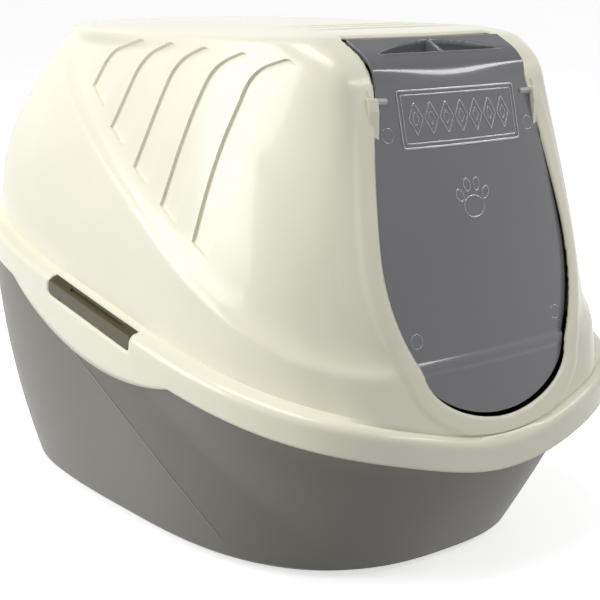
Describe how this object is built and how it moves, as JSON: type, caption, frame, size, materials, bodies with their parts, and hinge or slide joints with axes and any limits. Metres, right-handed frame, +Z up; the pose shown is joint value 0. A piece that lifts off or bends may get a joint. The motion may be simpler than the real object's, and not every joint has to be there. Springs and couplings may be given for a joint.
{
  "type": "hooded litter box",
  "caption": "Cat litter box: an open tub with a sloping rim, a lift-off hood, a see-through swing door, side latches and a roof filter.",
  "frame": {"origin": "centre of the footprint's box on the floor", "axes": "+Z up, front with the door towards -Y, +X to the right seen from the front"},
  "size_m": [0.4, 0.56, 0.41],
  "materials": {
    "tray_plastic": "fine-grained matte",
    "hood_plastic": "gloss",
    "door_plastic": "smoky see-through gloss",
    "latch_plastic": "satin",
    "filter_pad": "carbon fleece"
  },
  "bodies": {
    "base": {"tray": "tray_plastic"},
    "hood": {"hood": "hood_plastic", "hinge_clip_left": "hood_plastic", "hinge_clip_right": "hood_plastic", "latch_rod_left": "hood_plastic", "latch_rod_right": "hood_plastic", "filter_rail_left": "hood_plastic", "filter_rail_right": "hood_plastic"},
    "door": {"door": "door_plastic", "door_pin_left": "door_plastic", "door_pin_right": "door_plastic"},
    "latch_left": {"side_latch_left": "latch_plastic"},
    "latch_right": {"side_latch_right": "latch_plastic"},
    "filter": {"filter_holder": "hood_plastic", "carbon_filter": "filter_pad"}
  },
  "joints": [
    {"name": "hood_lift", "type": "slide", "parent": "base", "child": "hood", "axis": [0, 0, 1], "range_m": [0, 0.3]},
    {"name": "door_swing", "type": "hinge", "parent": "hood", "child": "door", "pos_m": [0, -0.209, 0.362], "axis": [1, 0, 0], "range_deg": [-80, 60]},
    {"name": "latch_left_flip", "type": "hinge", "parent": "hood", "child": "latch_left", "pos_m": [-0.1973, -0.01019, 0.18766], "axis": [0, -0.9821, -0.1886], "range_deg": [0, 40]},
    {"name": "latch_right_flip", "type": "hinge", "parent": "hood", "child": "latch_right", "pos_m": [0.1973, -0.01019, 0.18766], "axis": [0, 0.9821, 0.1886], "range_deg": [0, 40]},
    {"name": "filter_slide", "type": "slide", "parent": "hood", "child": "filter", "axis": [0, 1, 0], "range_m": [0, 0.075]}
  ]
}
